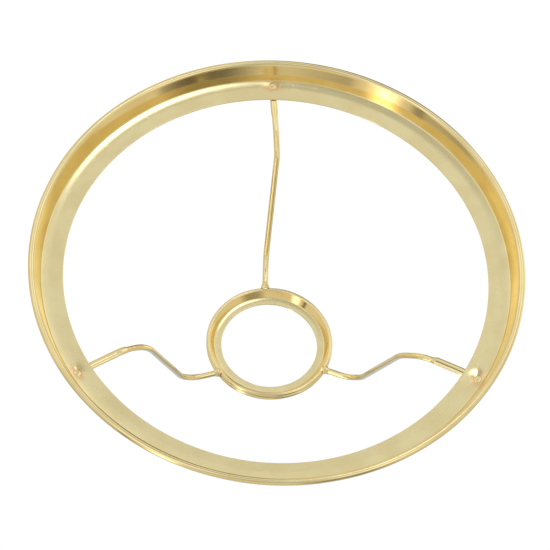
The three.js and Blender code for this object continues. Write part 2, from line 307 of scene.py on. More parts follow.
def turned_section_tree():
    """Turns a line of points round the Z axis. X is the distance from the axis."""
    tree, sheet, given, result = new_group(
        "GeometryNodeTree",
        "Turned Section",
        [
            ("Geometry", "NodeSocketGeometry", None),
            ("Steps Round", "NodeSocketInt", 96),
            ("Closed Section", "NodeSocketBool", True),
            ("Weld Distance", "NodeSocketFloat", WELD),
            ("Material", "NodeSocketMaterial", None),
        ],
        [("Geometry", "NodeSocketGeometry")],
    )
    section = given["Geometry"]
    count = sheet.add("GeometryNodeAttributeDomainSize", {"Geometry": section}).outputs["Point Count"]
    rows = sheet.math("ADD", count, given["Closed Section"])
    columns = sheet.math("ADD", given["Steps Round"], 1.0)
    grid = sheet.add("GeometryNodeMeshGrid", {"Vertices X": columns, "Vertices Y": rows})
    index = sheet.add("GeometryNodeInputIndex").outputs[0]
    column = sheet.math("FLOOR", sheet.math("DIVIDE", index, rows))
    row = sheet.math("SUBTRACT", index, sheet.math("MULTIPLY", column, rows))
    station = sheet.math("MODULO", row, count)
    place = sheet.add("GeometryNodeInputPosition").outputs[0]
    sample = sheet.add("GeometryNodeSampleIndex", data_type="FLOAT_VECTOR", domain="POINT")
    sheet.feed(sample.inputs["Geometry"], section)
    sheet.feed(sample.inputs["Value"], place)
    sheet.feed(sample.inputs["Index"], station)
    turn = sheet.math("DIVIDE", sheet.math("MULTIPLY", column, TURN), given["Steps Round"])
    turned = sheet.add(
        "ShaderNodeVectorRotate", {"Vector": sample.outputs[0], "Angle": turn}, rotation_type="Z_AXIS"
    )
    shaped = sheet.add(
        "GeometryNodeSetPosition", {"Geometry": grid.outputs["Mesh"], "Position": turned.outputs[0]}
    )
    welded = sheet.add(
        "GeometryNodeMergeByDistance",
        {"Geometry": shaped.outputs[0], "Distance": given["Weld Distance"]},
    )
    finish_geometry(sheet, welded.outputs[0], given["Material"], result)
    return tree


def drawn_wire_tree():
    """Runs round wire along a line of points. wire_place keeps where each point lay on the straight wire."""
    tree, sheet, given, result = new_group(
        "GeometryNodeTree",
        "Drawn Wire",
        [
            ("Geometry", "NodeSocketGeometry", None),
            ("Wire Radius", "NodeSocketFloat", 1.5 * MM),
            ("Sides", "NodeSocketInt", 24),
            ("Material", "NodeSocketMaterial", None),
        ],
        [("Geometry", "NodeSocketGeometry")],
    )

    def store(geometry, name, value, data_type="FLOAT"):
        inputs = {"Geometry": geometry, "Name": name, "Value": value}
        node = sheet.add("GeometryNodeStoreNamedAttribute", inputs, data_type=data_type, domain="POINT")
        return node.outputs[0]

    def stored(name):
        return sheet.add("GeometryNodeInputNamedAttribute", {"Name": name}, data_type="FLOAT").outputs[0]

    path = sheet.add("GeometryNodeMeshToCurve", {"Mesh": given["Geometry"]}).outputs[0]
    spline = sheet.add("GeometryNodeSplineParameter").outputs
    path = store(path, "along", spline["Length"])
    circle = sheet.add(
        "GeometryNodeCurvePrimitiveCircle",
        {"Resolution": given["Sides"], "Radius": given["Wire Radius"]},
    )
    ring = store(circle.outputs[0], "around", spline["Factor"])
    tube = sheet.add(
        "GeometryNodeCurveToMesh", {"Curve": path, "Profile Curve": ring, "Fill Caps": True}
    ).outputs[0]
    turn = sheet.math("MULTIPLY", stored("around"), TURN)
    place = sheet.add(
        "ShaderNodeCombineXYZ",
        {
            0: sheet.math("MULTIPLY", sheet.math("COSINE", turn), given["Wire Radius"]),
            1: sheet.math("MULTIPLY", sheet.math("SINE", turn), given["Wire Radius"]),
            2: stored("along"),
        },
    )
    tube = store(tube, "wire_place", place.outputs[0], "FLOAT_VECTOR")
    finish_geometry(sheet, tube, given["Material"], result)
    return tree


def tree_named(name, make):
    return bpy.data.node_groups.get(name) or make()


def made_by_nodes(name, points, closed, tree, **inputs):
    """Runs a geometry tree on a line of points and keeps the result as a plain mesh."""
    line = bpy.data.meshes.new(name)
    count = len(points)
    edges = [(i, (i + 1) % count) for i in range(count if closed else count - 1)]
    line.from_pydata([tuple(p) for p in points], edges, [])
    piece = bpy.data.objects.new(name, line)
    bpy.context.scene.collection.objects.link(piece)
    modifier = piece.modifiers.new("Shape", "NODES")
    modifier.node_group = tree
    for socket in tree.interface.items_tree:
        key = socket.name.lower().replace(" ", "_")
        if socket.in_out == "INPUT" and key in inputs:
            modifier[socket.identifier] = inputs[key]
    depsgraph = bpy.context.evaluated_depsgraph_get()
    mesh = bpy.data.meshes.new_from_object(
        piece.evaluated_get(depsgraph), preserve_all_data_layers=True, depsgraph=depsgraph
    )
    piece.modifiers.clear()
    piece.data = mesh
    bpy.data.meshes.remove(line)
    mesh.name = name
    if not mesh.polygons:
        raise RuntimeError(f"{name} came out empty")
    return piece


def turned_piece(name, section, steps, material, closed=True):
    points = [(p[0], 0, p[1]) for p in section]
    tree = tree_named("Turned Section", turned_section_tree)
    return made_by_nodes(
        name, points, closed, tree, steps_round=steps, closed_section=closed, weld_distance=WELD,
        material=material,
    )


def wire_piece(name, points, radius, material):
    tree = tree_named("Drawn Wire", drawn_wire_tree)
    return made_by_nodes(
        name, points, False, tree, wire_radius=radius, sides=WIRE_SIDES, material=material
    )


# Meshes


def read_points(piece):
    points = np.empty(len(piece.data.vertices) * 3)
    piece.data.vertices.foreach_get("co", points)
    return points.reshape(-1, 3)


def write_points(piece, points):
    piece.data.vertices.foreach_set("co", np.asarray(points, float).ravel())
    piece.data.update()


def turn_points(points, azimuth):
    """Turns an array of points about the Z axis."""
    c, s = math.cos(azimuth), math.sin(azimuth)
    return points @ np.array([[c, s, 0], [-s, c, 0], [0, 0, 1]])


def face_outwards(piece):
    mesh = bmesh.new()
    mesh.from_mesh(piece.data)
    bmesh.ops.recalc_face_normals(mesh, faces=mesh.faces)
    if mesh.calc_volume(signed=True) < 0:
        bmesh.ops.reverse_faces(mesh, faces=mesh.faces)
    mesh.to_mesh(piece.data)
    mesh.free()
    piece.data.update()


def hand_over(piece, slot_name, *nodes):
    """Makes a finished piece part of the object, in place of its CAD nodes."""
    face_outwards(piece)
    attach(piece, "root")
    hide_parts(*nodes)


def unevenness(points, size, amount):
    """A smooth random height for each point, from -amount to amount, in lumps of about the given size."""
    return np.array([noise.noise(Vector(p) / size) for p in points]) * amount


def sunk_at_rivets(points):
    """Sinks what lies near a rivet into a shallow dish."""
    over = (points[:, 2] - flange_top()) / DISH_FADE
    hold = np.clip(1 - over, 0, 1)
    for shape in ARMS.values():
        azimuth = math.radians(shape["azimuth"])
        centre = rivet_distance() * np.array([math.cos(azimuth), math.sin(azimuth)])
        distance = np.linalg.norm(points[:, :2] - centre, axis=1)
        points[:, 2] -= shape["dish"] * MM * np.exp(-((distance / DISH_REACH) ** 2)) * hold
    return points


# The size and height of the waves in each turned ring
RIM_WAVES = (24 * MM, 0.07 * MM)
COLLAR_WAVES = (11 * MM, 0.14 * MM)
HOOP_WAVES = (14 * MM, 0.16 * MM)


def made_by_hand(piece, size, amount):
    """The points of a turned ring, with the slight waviness of one that was rolled and trued by hand."""
    points = read_points(piece)
    radius = np.linalg.norm(points[:, :2], axis=1, keepdims=True)
    swing = unevenness(points, size, amount)
    lift = unevenness(points[:, [1, 0, 2]], size * 1.3, amount * 0.5)
    points[:, :2] *= 1 + swing[:, None] / radius
    points[:, 2] += lift * np.clip((points[:, 2] - points[:, 2].min()) / (2 * MM), 0, 1)
    return points


# Sections. X is the distance from the axis, Y the height.


def on_circle(centre, radius, turn):
    return centre + radius * Vector((math.cos(turn), math.sin(turn)))


def arc(centre, radius, start, end):
    """Points round a circle from one angle to another, both included."""
    sides = max(2, math.ceil(abs(end - start) / ARC_STEP))
    return [on_circle(centre, radius, start + (end - start) * i / sides) for i in range(sides + 1)]


def fillet(before, corner, after, radius):
    """Points of the arc that rounds off a corner."""
    back = (before - corner).normalized()
    ahead = (after - corner).normalized()
    half = back.angle(ahead) / 2
    centre = corner + (back + ahead).normalized() * radius / math.sin(half)
    first = corner + back * radius / math.tan(half) - centre
    last = corner + ahead * radius / math.tan(half) - centre
    start = math.atan2(first.y, first.x)
    sweep = (math.atan2(last.y, last.x) - start + math.pi) % TURN - math.pi
    return arc(centre, radius, start, start + sweep)


def filled_in(points, longest, closed=True):
    """Adds points to the long sides of a line, evenly and close to both ends."""
    filled = []
    count = len(points)
    for i in range(count if closed else count - 1):
        a, b = points[i], points[(i + 1) % count]
        side = (b - a).length
        filled.append(a)
        if side > 4 * SUPPORT:
            filled.append(a.lerp(b, SUPPORT / side))
            parts = math.ceil(side / longest)
            filled.extend(a.lerp(b, k / parts) for k in range(1, parts))
            filled.append(a.lerp(b, 1 - SUPPORT / side))
    return filled if closed else filled + [points[-1]]


def rolled_section(size):
    """A strip of sheet in section: a flat ledge, a leaning wall, and a bead rolled outwards at its top."""
    sheet, bead = size.sheet, size.bead / 2
    crease = Vector((size.radius - size.wall_run, size.top - size.depth))
    centre = Vector((size.radius - bead, size.top - bead))
    reach = centre - crease
    lean = math.atan2(reach.y, reach.x) + math.asin(bead / reach.length)
    touch = lean + math.pi / 2
    tuck = (sheet / 2 + ROLL_GAP) / (bead - sheet / 2)
    roll_end = touch - TURN + math.acos((bead - sheet) / bead) + tuck
    wall_top = on_circle(centre, bead, touch)
    wall_back = on_circle(centre, bead - sheet, touch)
    underside = crease.y - sheet
    heel = Vector((wall_back.x - (wall_back.y - underside) / math.tan(lean), underside))
    hole = crease.x - size.ledge_width
    lower_edge = Vector((hole, underside))
    upper_edge = Vector((hole, crease.y))
    rolled_edge = on_circle(centre, bead - sheet / 2, roll_end)
    edge_round = sheet * EDGE_ROUNDING
    outline = [
        *fillet(lower_edge, upper_edge, crease, edge_round),
        *fillet(upper_edge, crease, wall_top, size.bend),
        *arc(centre, bead, touch, roll_end),
        *arc(rolled_edge, sheet / 2, roll_end, roll_end - math.pi)[1:-1],
        *arc(centre, bead - sheet, roll_end, touch),
        *fillet(wall_back, heel, lower_edge, size.bend + sheet),
        *fillet(heel, lower_edge, upper_edge, edge_round),
    ]
    return [lifted(point, crease, size) for point in filled_in(outline, SMOOTH_SIDE)]


def lifted(point, crease, size):
    """Lifts the ledge in a gentle curve towards the crease, and eases the wall to match."""
    if point.x < crease.x:
        climb = max(1 - (crease.x - point.x) / size.rise_width, 0) ** 2
    else:
        climb = min(max((size.top - point.y) / size.depth, 0), 1)
    return Vector((point.x, point.y + size.rise * climb))


# Arms


def arm_profile():
    """The centre line of an arm in its radial plane, from the outside of the eye in to the tip, and the
    distances from the axis at which its sideways offsets are given."""
    size = settings()
    arm, rivet_radius = size.arm, rivet_distance()
    bead_centre = size.hub.top - size.hub.bead / 2
    height = flange_underside() - arm.gap - arm.wire / 2
    tip_height = bead_centre + arm.tip_lift
    fitted_tip = size.hub.radius - FIT_INSET
    ankle = Vector((fitted_tip + arm.foot, tip_height + arm.foot_rise))
    shoulder = Vector((rivet_radius - arm.reach, height))
    start = Vector((rivet_radius + arm.eye, height))
    tip = Vector((size.hub.radius - arm.tip_entry, tip_height))
    line = [
        start,
        *fillet(start, shoulder, ankle, arm.shoulder_bend),
        *fillet(shoulder, ankle, tip, arm.ankle_bend),
        tip,
    ]
    flange_edge = size.rim.radius - size.rim.wall_run - size.rim.ledge_width
    return line, (fitted_tip, ankle.x, shoulder.x, flange_edge, rivet_radius)


def rivet_distance():
    size = settings()
    return size.rim.radius - size.rim.wall_run - size.rivet.inset


def flange_top():
    size = settings().rim
    return size.top - size.depth


def flange_underside():
    return flange_top() - settings().rim.sheet


def evenly_spaced(points, step):
    """The same line through points a step apart."""
    points = np.array(points)
    sides = np.linalg.norm(np.diff(points, axis=0), axis=1)
    along = np.concatenate([[0], np.cumsum(sides)])
    wanted = np.linspace(0, along[-1], int(along[-1] / step) + 1)
    return np.stack([np.interp(wanted, along, axis) for axis in points.T], axis=1)


def softened(values, reach):
    """A running mean that keeps both ends."""
    kernel = np.hanning(2 * reach + 3)[1:-1]
    padded = np.pad(values, reach, mode="reflect", reflect_type="odd")
    return np.convolve(padded, kernel / kernel.sum(), mode="valid")


def arm_line(offsets):
    """The hand-bent centre line, pointing along X."""
    profile, stations = arm_profile()
    line = evenly_spaced([tuple(p) for p in profile], WIRE_STEP)
    sideways = np.interp(line[:, 0], stations, [offset * MM for offset in offsets] + [0])
    sideways = softened(sideways, WIRE_SOFTENING)
    return np.column_stack([line[:, 0], sideways, line[:, 1]])


def eased(value, low, high):
    """Rises smoothly from 0 to 1 as the value goes from low to high."""
    progress = min(max((value - low) / (high - low), 0), 1)
    return progress * progress * (3 - 2 * progress)


def press_end(points, line, shape):
    """Presses the outer end of a wire and hammers a round eye on it. The points come in rings, one for each
    point of the line, and the top of the wire stays level."""
    arm = settings().arm
    radius = arm.wire / 2
    flat = arm.eye_thickness / 2
    press, spread = shape["press"] * MM, shape["spread"] * MM
    pressed = radius * radius / spread
    rivet_radius = rivet_distance()
    rings = points.reshape(len(line), WIRE_SIDES, 3)
    for ring, centre in zip(rings, line):
        inwards = rivet_radius - centre[0]
        if inwards > press + PRESSED_REACH:
            break
        jaws = eased(inwards, press - JAW_SLOPE, press + JAW_SLOPE)
        eye = eased(inwards, EYE_FLAT, arm.neck)
        half_width = spread + (radius - spread) * jaws
        half_height = flat + (pressed + (radius - pressed) * jaws - flat) * eye
        if inwards < 0:
            half_width = math.sqrt(max(arm.eye**2 - inwards**2, (0.02 * MM) ** 2))
            edge = min(half_width / EYE_EDGE, 1)
            half_height *= math.sqrt(max(1 - (1 - edge) ** 2, 0.01))
        else:
            half_width = arm.eye + (half_width - arm.eye) * eased(inwards, 0, arm.neck)
        power = EYE_BOXINESS + (1 - EYE_BOXINESS) * eye
        across = (ring[:, 1] - centre[1]) / radius
        upwards = (ring[:, 2] - centre[2]) / radius
        ring[:, 0] = centre[0]
        ring[:, 1] = centre[1] + np.sign(across) * np.abs(across) ** power * half_width
        level = centre[2] + radius - max(half_height, flat)
        ring[:, 2] = level + np.sign(upwards) * np.abs(upwards) ** power * half_height
    return rings.reshape(-1, 3)


# Materials


WHITE = (1, 1, 1, 1)
RUBBED_BRASS = (0.93, 0.84, 0.53, 1)
# Painted shade: the dark brown laid into crevices and where pieces meet
PAINTED_CREVICE_SHADE = (0.13, 0.075, 0.03, 1)

# How strongly each effect shows in the colour
SPECK_TARNISH = 0.12
COPPER_SHARE = 0.55
RUBBED_SHARE = 0.35
# The painted crevice shade shows at most this strongly
CREVICE_SHADE_SHARE = 0.85

# What each effect adds to the roughness
CLOUD_ROUGHNESS = 0.035
LINE_ROUGHNESS = 0.08
SCRATCH_ROUGHNESS = 0.12
CREASE_ROUGHNESS = 0.12

# Heights of the fine marks
LINE_HEIGHT = 0.0012 * MM
SCRATCH_DEPTH = 0.002 * MM
SPECK_DEPTH = 0.001 * MM
LUMP_SIZE = 1.1 * MM


def shader_group(name, inputs, outputs, fill):
    """The shader node group of that name, built on first use. Every input and output is a plain number apart
    from Place, which is a vector."""
    tree = bpy.data.node_groups.get(name)
    if tree is None:
        kinds = {"Place": "NodeSocketVector"}
        tree, sheet, given, result = new_group(
            "ShaderNodeTree",
            name,
            [(key, kinds.get(key, "NodeSocketFloat"), value) for key, value in inputs.items()],
            [(key, "NodeSocketFloat") for key in outputs],
        )
        for key, value in fill(sheet, given).items():
            sheet.feed(result[key], value)
    return tree


def noise_at(sheet, place, size, detail=2.0):
    """Smooth random numbers about 0.5, in lumps of the given size."""
    inputs = {"Vector": place, "Scale": sheet.math("DIVIDE", 1.0, size), "Detail": detail}
    return sheet.add("ShaderNodeTexNoise", inputs).outputs[0]


def stretched(sheet, place, factors):
    return sheet.vector("MULTIPLY", place, factors)


def plating_variation(sheet, given):
    """Broad clouding of the plating, and fine specks in it."""
    cloud = noise_at(sheet, given["Place"], given["Cloud Size"], 3.0)
    speck = noise_at(sheet, given["Place"], given["Speck Size"], 1.0)
    return {
        "Cloud": sheet.band(cloud, 0.36, 0.66),
        "Specks": sheet.band(speck, 0.66, 0.76),
    }


def fine_scratches(sheet, given):
    """Hairline scratches from handling, in three directions."""
    marks = 0.0
    for turn in (0.35, 1.5, 2.6):
        turned = sheet.add(
            "ShaderNodeVectorRotate", {"Vector": given["Place"], "Angle": turn}, rotation_type="Z_AXIS"
        ).outputs[0]
        line = noise_at(sheet, stretched(sheet, turned, (1.0, 0.02, 1.0)), given["Width"], 0.0)
        gaps = noise_at(sheet, turned, given["Spacing"], 1.0)
        mark = sheet.math("MULTIPLY", sheet.band(line, 0.7, 0.78), sheet.band(gaps, 0.52, 0.62))
        marks = sheet.math("MAXIMUM", marks, mark)
    return {"Scratches": marks}


def edge_wear_and_shade(sheet, given):
    """Edges that have been rubbed, creases that polishing missed, and painted shade in crevices and where
    pieces meet.
    """
    sharp = sheet.add("ShaderNodeNewGeometry").outputs["Pointiness"]
    breakup = noise_at(sheet, given["Place"], given["Breakup Size"], 2.0)
    wander = sheet.math("MULTIPLY", sheet.math("SUBTRACT", breakup, 0.5), 0.08)
    rough = sheet.math("ADD", sharp, wander)
    # Painted shade: ambient occlusion finds the crevices and the places where pieces meet
    open_sky = sheet.add("ShaderNodeAmbientOcclusion", {"Distance": given["Dirt Reach"]}, samples=6)
    hidden = sheet.math("ADD", open_sky.outputs["AO"], sheet.math("MULTIPLY", wander, 2.0))
    return {
        "Edges": sheet.band(rough, 0.53, 0.6),
        "Creases": sheet.band(rough, 0.47, 0.4),
        "Dirt": sheet.band(hidden, 0.72, 0.25),
    }


def spun_lines(sheet, given):
    """Faint rings left by the rolls, about the Z axis."""
    parts = sheet.add("ShaderNodeSeparateXYZ", {0: given["Place"]}).outputs
    flat = sheet.math("POWER", parts[0], 2.0)
    flat = sheet.math("ADD", flat, sheet.math("POWER", parts[1], 2.0))
    radius = sheet.math("SQRT", flat)
    drift = stretched(sheet, given["Place"], (0.02, 0.02, 0.0))
    line = sheet.add("ShaderNodeCombineXYZ", {0: radius, 2: parts[2]}).outputs[0]
    rings = noise_at(sheet, sheet.vector("ADD", line, drift), given["Line Width"], 1.0)
    return {"Lines": rings}


def drawn_lines(sheet, given):
    """Lines that the die left along the wire."""
    place = stretched(sheet, given["Place"], (1.0, 1.0, 0.025))
    return {"Lines": noise_at(sheet, place, given["Line Width"], 1.0)}


def rivet_halo(sheet, given):
    """How near a point is to the nearest of the three rivets, from 0 to 1."""
    parts = sheet.add("ShaderNodeSeparateXYZ", {0: given["Place"]}).outputs
    turn = sheet.math("ARCTAN2", parts[1], parts[0])
    sector = TURN / len(ARMS)
    half = sector / 2
    shifted = sheet.math("SUBTRACT", turn, math.radians(ARMS["rear"]["azimuth"]) - half - TURN)
    folded = sheet.math("SUBTRACT", sheet.math("MODULO", shifted, sector), half)
    flat = sheet.add("ShaderNodeCombineXYZ", {0: parts[0], 1: parts[1]}).outputs[0]
    radius = sheet.vector("LENGTH", flat)
    sideways = sheet.math("MULTIPLY", radius, sheet.math("SINE", folded))
    outwards = sheet.math("MULTIPLY", radius, sheet.math("COSINE", folded))
    offset = sheet.add(
        "ShaderNodeCombineXYZ",
        {
            0: sheet.math("SUBTRACT", outwards, given["Rivet Distance"]),
            1: sheet.math("MULTIPLY", sideways, 0.7),
            2: sheet.math("SUBTRACT", parts[2], given["Height"]),
        },
    ).outputs[0]
    breakup = noise_at(sheet, given["Place"], 2 * MM, 2.0)
    wander = sheet.math("MULTIPLY", sheet.math("SUBTRACT", breakup, 0.5), 4 * MM)
    distance = sheet.math("ADD", sheet.vector("LENGTH", offset), wander)
    return {"Near": sheet.band(distance, given["Reach"], given["Core"])}


def soft_panel(sheet, given):
    """Whether a direction meets a panel, from 0 to 1."""
    turned = given["Place"]
    azimuth_back = sheet.math("MULTIPLY", given["Azimuth"], -1.0)
    for turn, axis in ((azimuth_back, "Z_AXIS"), (given["Elevation"], "Y_AXIS")):
        turned = sheet.add(
            "ShaderNodeVectorRotate", {"Vector": turned, "Angle": turn}, rotation_type=axis
        ).outputs[0]
    parts = sheet.add("ShaderNodeSeparateXYZ", {0: turned}).outputs
    soft = sheet.math("TANGENT", given["Softness"])
    ahead = sheet.math("MAXIMUM", parts[0], 0.001)
    mask = sheet.math("GREATER_THAN", parts[0], 0.0)
    for part, size in ((parts[1], given["Half Width"]), (parts[2], given["Half Height"])):
        off = sheet.math("DIVIDE", sheet.math("ABSOLUTE", part), ahead)
        half = sheet.math("TANGENT", size)
        inside = sheet.band(off, sheet.math("ADD", half, soft), sheet.math("SUBTRACT", half, soft))
        mask = sheet.math("MULTIPLY", mask, inside)
    return {"Mask": mask}


PANEL_ANGLES = ("Azimuth", "Elevation", "Half Width", "Half Height", "Softness")
GROUPS = {
    "Soft Panel": (
        {"Place": None, **dict.fromkeys(PANEL_ANGLES, 0.1)},
        ("Mask",),
        soft_panel,
    ),
    "Plating Variation": (
        {"Place": None, "Cloud Size": 0.02, "Speck Size": 0.0005},
        ("Cloud", "Specks"),
        plating_variation,
    ),
    "Fine Scratches": ({"Place": None, "Width": 0.0002, "Spacing": 0.006}, ("Scratches",), fine_scratches),
    "Edge Wear And Shade": (
        {"Place": None, "Breakup Size": 0.003, "Dirt Reach": 0.001},
        ("Edges", "Creases", "Dirt"),
        edge_wear_and_shade,
    ),
    "Spun Lines": ({"Place": None, "Line Width": 0.0005}, ("Lines",), spun_lines),
    "Drawn Lines": ({"Place": None, "Line Width": 0.0004}, ("Lines",), drawn_lines),
    "Rivet Halo": (
        {"Place": None, "Rivet Distance": 0.12, "Height": 0.07, "Core": 0.003, "Reach": 0.008},
        ("Near",),
        rivet_halo,
    ),
}


def effect(sheet, name, place, **values):
    """Places a shared effect in a material or a world. Values are named after the effect's inputs, either as
    they are or in lower case with underscores."""
    node = sheet.add("ShaderNodeGroup", node_tree=shader_group(name, *GROUPS[name]))
    sheet.feed(node.inputs["Place"], place)
    for key, value in values.items():
        node.inputs[key.title().replace("_", " ")].default_value = value
    return node.outputs


def plated(name, roughness, lines, clouding, tarnish, copper=None, lumps=0.0, cloud_size=18 * MM,
           dirt_reach=1 * MM):
    """A plated metal. The lines are given by the effect that draws them and how wide they are. Clouding and
    tarnish say how strongly each shows, copper where the plating is thin, and lumps how high they stand."""
    material = bpy.data.materials.get(name)
    if material:
        return material
    material = bpy.data.materials.new(name)
    material.use_nodes = True
    sheet = NodeSheet(material.node_tree)
    finish = settings().finish
    place = sheet.add("ShaderNodeTexCoord").outputs["Object"]
    effect_name, line_width = lines
    if effect_name == "Drawn Lines":
        along = sheet.add("ShaderNodeAttribute", attribute_name="wire_place").outputs["Vector"]
    else:
        along = place
    line = effect(sheet, effect_name, along, line_width=line_width)["Lines"]
    clouds = effect(sheet, "Plating Variation", place, cloud_size=cloud_size, speck_size=0.45 * MM)
    # The painted shade in crevices reaches as far as dirt_reach
    wear_and_shade = effect(sheet, "Edge Wear And Shade", place, breakup_size=3 * MM, dirt_reach=dirt_reach)
    marks = effect(sheet, "Fine Scratches", place, width=0.16 * MM, spacing=7 * MM)["Scratches"]

    brass, dull, red = ((*value, 1) for value in (finish.brass, finish.tarnish, finish.copper))
    dulled = sheet.math("MULTIPLY", clouds["Cloud"], clouding)
    dulled = sheet.math("ADD", dulled, sheet.math("MULTIPLY", wear_and_shade["Creases"], tarnish))
    dulled = sheet.math("ADD", dulled, sheet.math("MULTIPLY", clouds["Specks"], SPECK_TARNISH), clamp=True)
    tone = sheet.blend(dulled, brass, dull)
    if copper:
        near = effect(sheet, "Rivet Halo", place, **copper)["Near"]
        tone = sheet.blend(sheet.math("MULTIPLY", near, COPPER_SHARE), tone, red)
    tone = sheet.blend(sheet.math("MULTIPLY", wear_and_shade["Edges"], RUBBED_SHARE), tone, RUBBED_BRASS)
    # Painted shade: crevices and the places where pieces meet go towards a dark brown
    tone = sheet.blend(sheet.math("MULTIPLY", wear_and_shade["Dirt"], CREVICE_SHADE_SHARE), tone, PAINTED_CREVICE_SHADE)

    spread = sheet.math("MULTIPLY", sheet.math("SUBTRACT", line, 0.5), LINE_ROUGHNESS)
    gloss = sheet.math("ADD", sheet.math("MULTIPLY", clouds["Cloud"], CLOUD_ROUGHNESS), spread)
    gloss = sheet.math("ADD", gloss, sheet.math("MULTIPLY", marks, SCRATCH_ROUGHNESS))
    gloss = sheet.math("ADD", gloss, sheet.math("MULTIPLY", wear_and_shade["Creases"], CREASE_ROUGHNESS))
    gloss = sheet.math("ADD", gloss, roughness, clamp=True)

    height = sheet.math("MULTIPLY", line, LINE_HEIGHT)
    height = sheet.math("SUBTRACT", height, sheet.math("MULTIPLY", marks, SCRATCH_DEPTH))
    height = sheet.math("SUBTRACT", height, sheet.math("MULTIPLY", clouds["Specks"], SPECK_DEPTH))
    if lumps:
        lump = noise_at(sheet, place, LUMP_SIZE, 2.0)
        height = sheet.math("ADD", height, sheet.math("MULTIPLY", lump, lumps))
    bump = sheet.add("ShaderNodeBump", {"Height": height, "Distance": 1.0, "Strength": 1.0})

    shader = material.node_tree.nodes["Principled BSDF"]
    shader.inputs["Metallic"].default_value = 1
    sheet.feed(shader.inputs["Base Color"], tone)
    sheet.feed(shader.inputs["Roughness"], gloss)
    sheet.feed(shader.inputs["Normal"], bump.outputs["Normal"])
    return material


def rim_brass():
    halo = {"rivet_distance": rivet_distance(), "height": flange_top(), "core": 1.6 * MM, "reach": 5 * MM}
    return plated("rim_plating", settings().finish.sheet_gloss, ("Spun Lines", 0.5 * MM), 0.3, 0.8, halo)


def hub_brass():
    # The painted crevice shade on the hub reaches further, for darker creases
    return plated("hub_plating", settings().finish.sheet_gloss, ("Spun Lines", 0.35 * MM), 0.25, 0.9,
                  cloud_size=9 * MM, dirt_reach=1.8 * MM)


def wire_brass():
    return plated("wire_plating", settings().finish.wire_gloss, ("Drawn Lines", 0.3 * MM), 0.25, 0.7,
                  cloud_size=8 * MM)


def rivet_brass():
    return plated("rivet_plating", 0.14, ("Spun Lines", 0.3 * MM), 0.5, 1.0, lumps=0.03 * MM,
                  cloud_size=2 * MM)


def braze_fillet():
    return plated("braze_plating", 0.16, ("Spun Lines", 0.3 * MM), 0.35, 0.9, lumps=0.05 * MM,
                  cloud_size=1.5 * MM)


# Operators


class MakeRim(bpy.types.Operator):
    """Make the rolled rim with its flange"""

    bl_idname = "shade_ring.make_rim"
    bl_label = "Make Rim"

    def execute(self, context):
        section = rolled_section(settings().rim)
        rim = turned_piece("rim", section, RIM_STEPS, rim_brass())
        write_points(rim, sunk_at_rivets(made_by_hand(rim, *RIM_WAVES)))
        hand_over(rim, "rim_brass", "rim_ring")
        return {"FINISHED"}


class MakeHub(bpy.types.Operator):
    """Make the hub collar and the hoop under its bead"""

    bl_idname = "shade_ring.make_hub"
    bl_label = "Make Hub"

    def execute(self, context):
        size = settings().hub
        collar = turned_piece("collar", rolled_section(size), HUB_STEPS, hub_brass())
        write_points(collar, made_by_hand(collar, *COLLAR_WAVES))
        hand_over(collar, "hub_brass", "hub_collar")
        centre = Vector((size.radius - size.bead / 2, size.hoop_height))
        circle = arc(centre, size.hoop_wire / 2, 0, TURN)[:-1]
        hoop = turned_piece("hoop", circle, HUB_STEPS, hub_brass())
        write_points(hoop, made_by_hand(hoop, *HOOP_WAVES))
        hand_over(hoop, "hub_brass", "hub_hoop")
        return {"FINISHED"}


class MakeArms(bpy.types.Operator):
    """Make the three wire arms, each bent its own way"""

    bl_idname = "shade_ring.make_arms"
    bl_label = "Make Arms"

    def execute(self, context):
        radius = settings().arm.wire / 2
        for side, shape in ARMS.items():
            line = arm_line(shape["offsets"])
            arm = wire_piece(f"wire_arm_{side}", line, radius, wire_brass())
            points = press_end(read_points(arm), line, shape)
            write_points(arm, sunk_at_rivets(turn_points(points, math.radians(shape["azimuth"]))))
            hand_over(arm, "wire_brass", f"arm_{side}")
        return {"FINISHED"}


class MakeRivets(bpy.types.Operator):
    """Make the rivets that hold the arms under the flange"""

    bl_idname = "shade_ring.make_rivets"
    bl_label = "Make Rivets"

    def execute(self, context):
        size = settings().rivet
        top = flange_top()
        eye_bottom = flange_underside() - settings().arm.gap - settings().arm.eye_thickness
        section = [
            (0, top + size.head_height - size.dimple_depth),
            (size.dimple * 0.5, top + size.head_height - size.dimple_depth * 0.8),
            (size.dimple, top + size.head_height - 0.05 * MM),
            (size.dimple * 1.25, top + size.head_height),
            (size.head * 0.7, top + size.head_height * 0.85),
            (size.head * 0.93, top + size.head_height * 0.45),
            (size.head, top + 0.05 * MM),
            (size.head * 0.95, top - 0.1 * MM),
            (size.shank / 2, top - 0.1 * MM),
            (size.shank / 2, eye_bottom + 0.05 * MM),
            (size.tail * 0.95, eye_bottom + 0.05 * MM),
            (size.tail, eye_bottom - 0.1 * MM),
            (size.tail * 0.8, eye_bottom - size.tail_height * 0.8),
            (size.tail * 0.4, eye_bottom - size.tail_height),
            (0, eye_bottom - size.tail_height),
        ]
        for side, shape in ARMS.items():
            rivet = turned_piece(f"rivet_head_{side}", section, RIVET_STEPS, rivet_brass(), closed=False)
            points = read_points(rivet)
            points[:, 0] += unevenness(points * (1, 1, 0) + shape["azimuth"] * MM, 1.6 * MM, 0.25 * MM)
            points[:, 0] += rivet_distance()
            write_points(rivet, sunk_at_rivets(turn_points(points, math.radians(shape["azimuth"]))))
            hand_over(rivet, "rivet_brass", f"rivet_{side}")
        return {"FINISHED"}


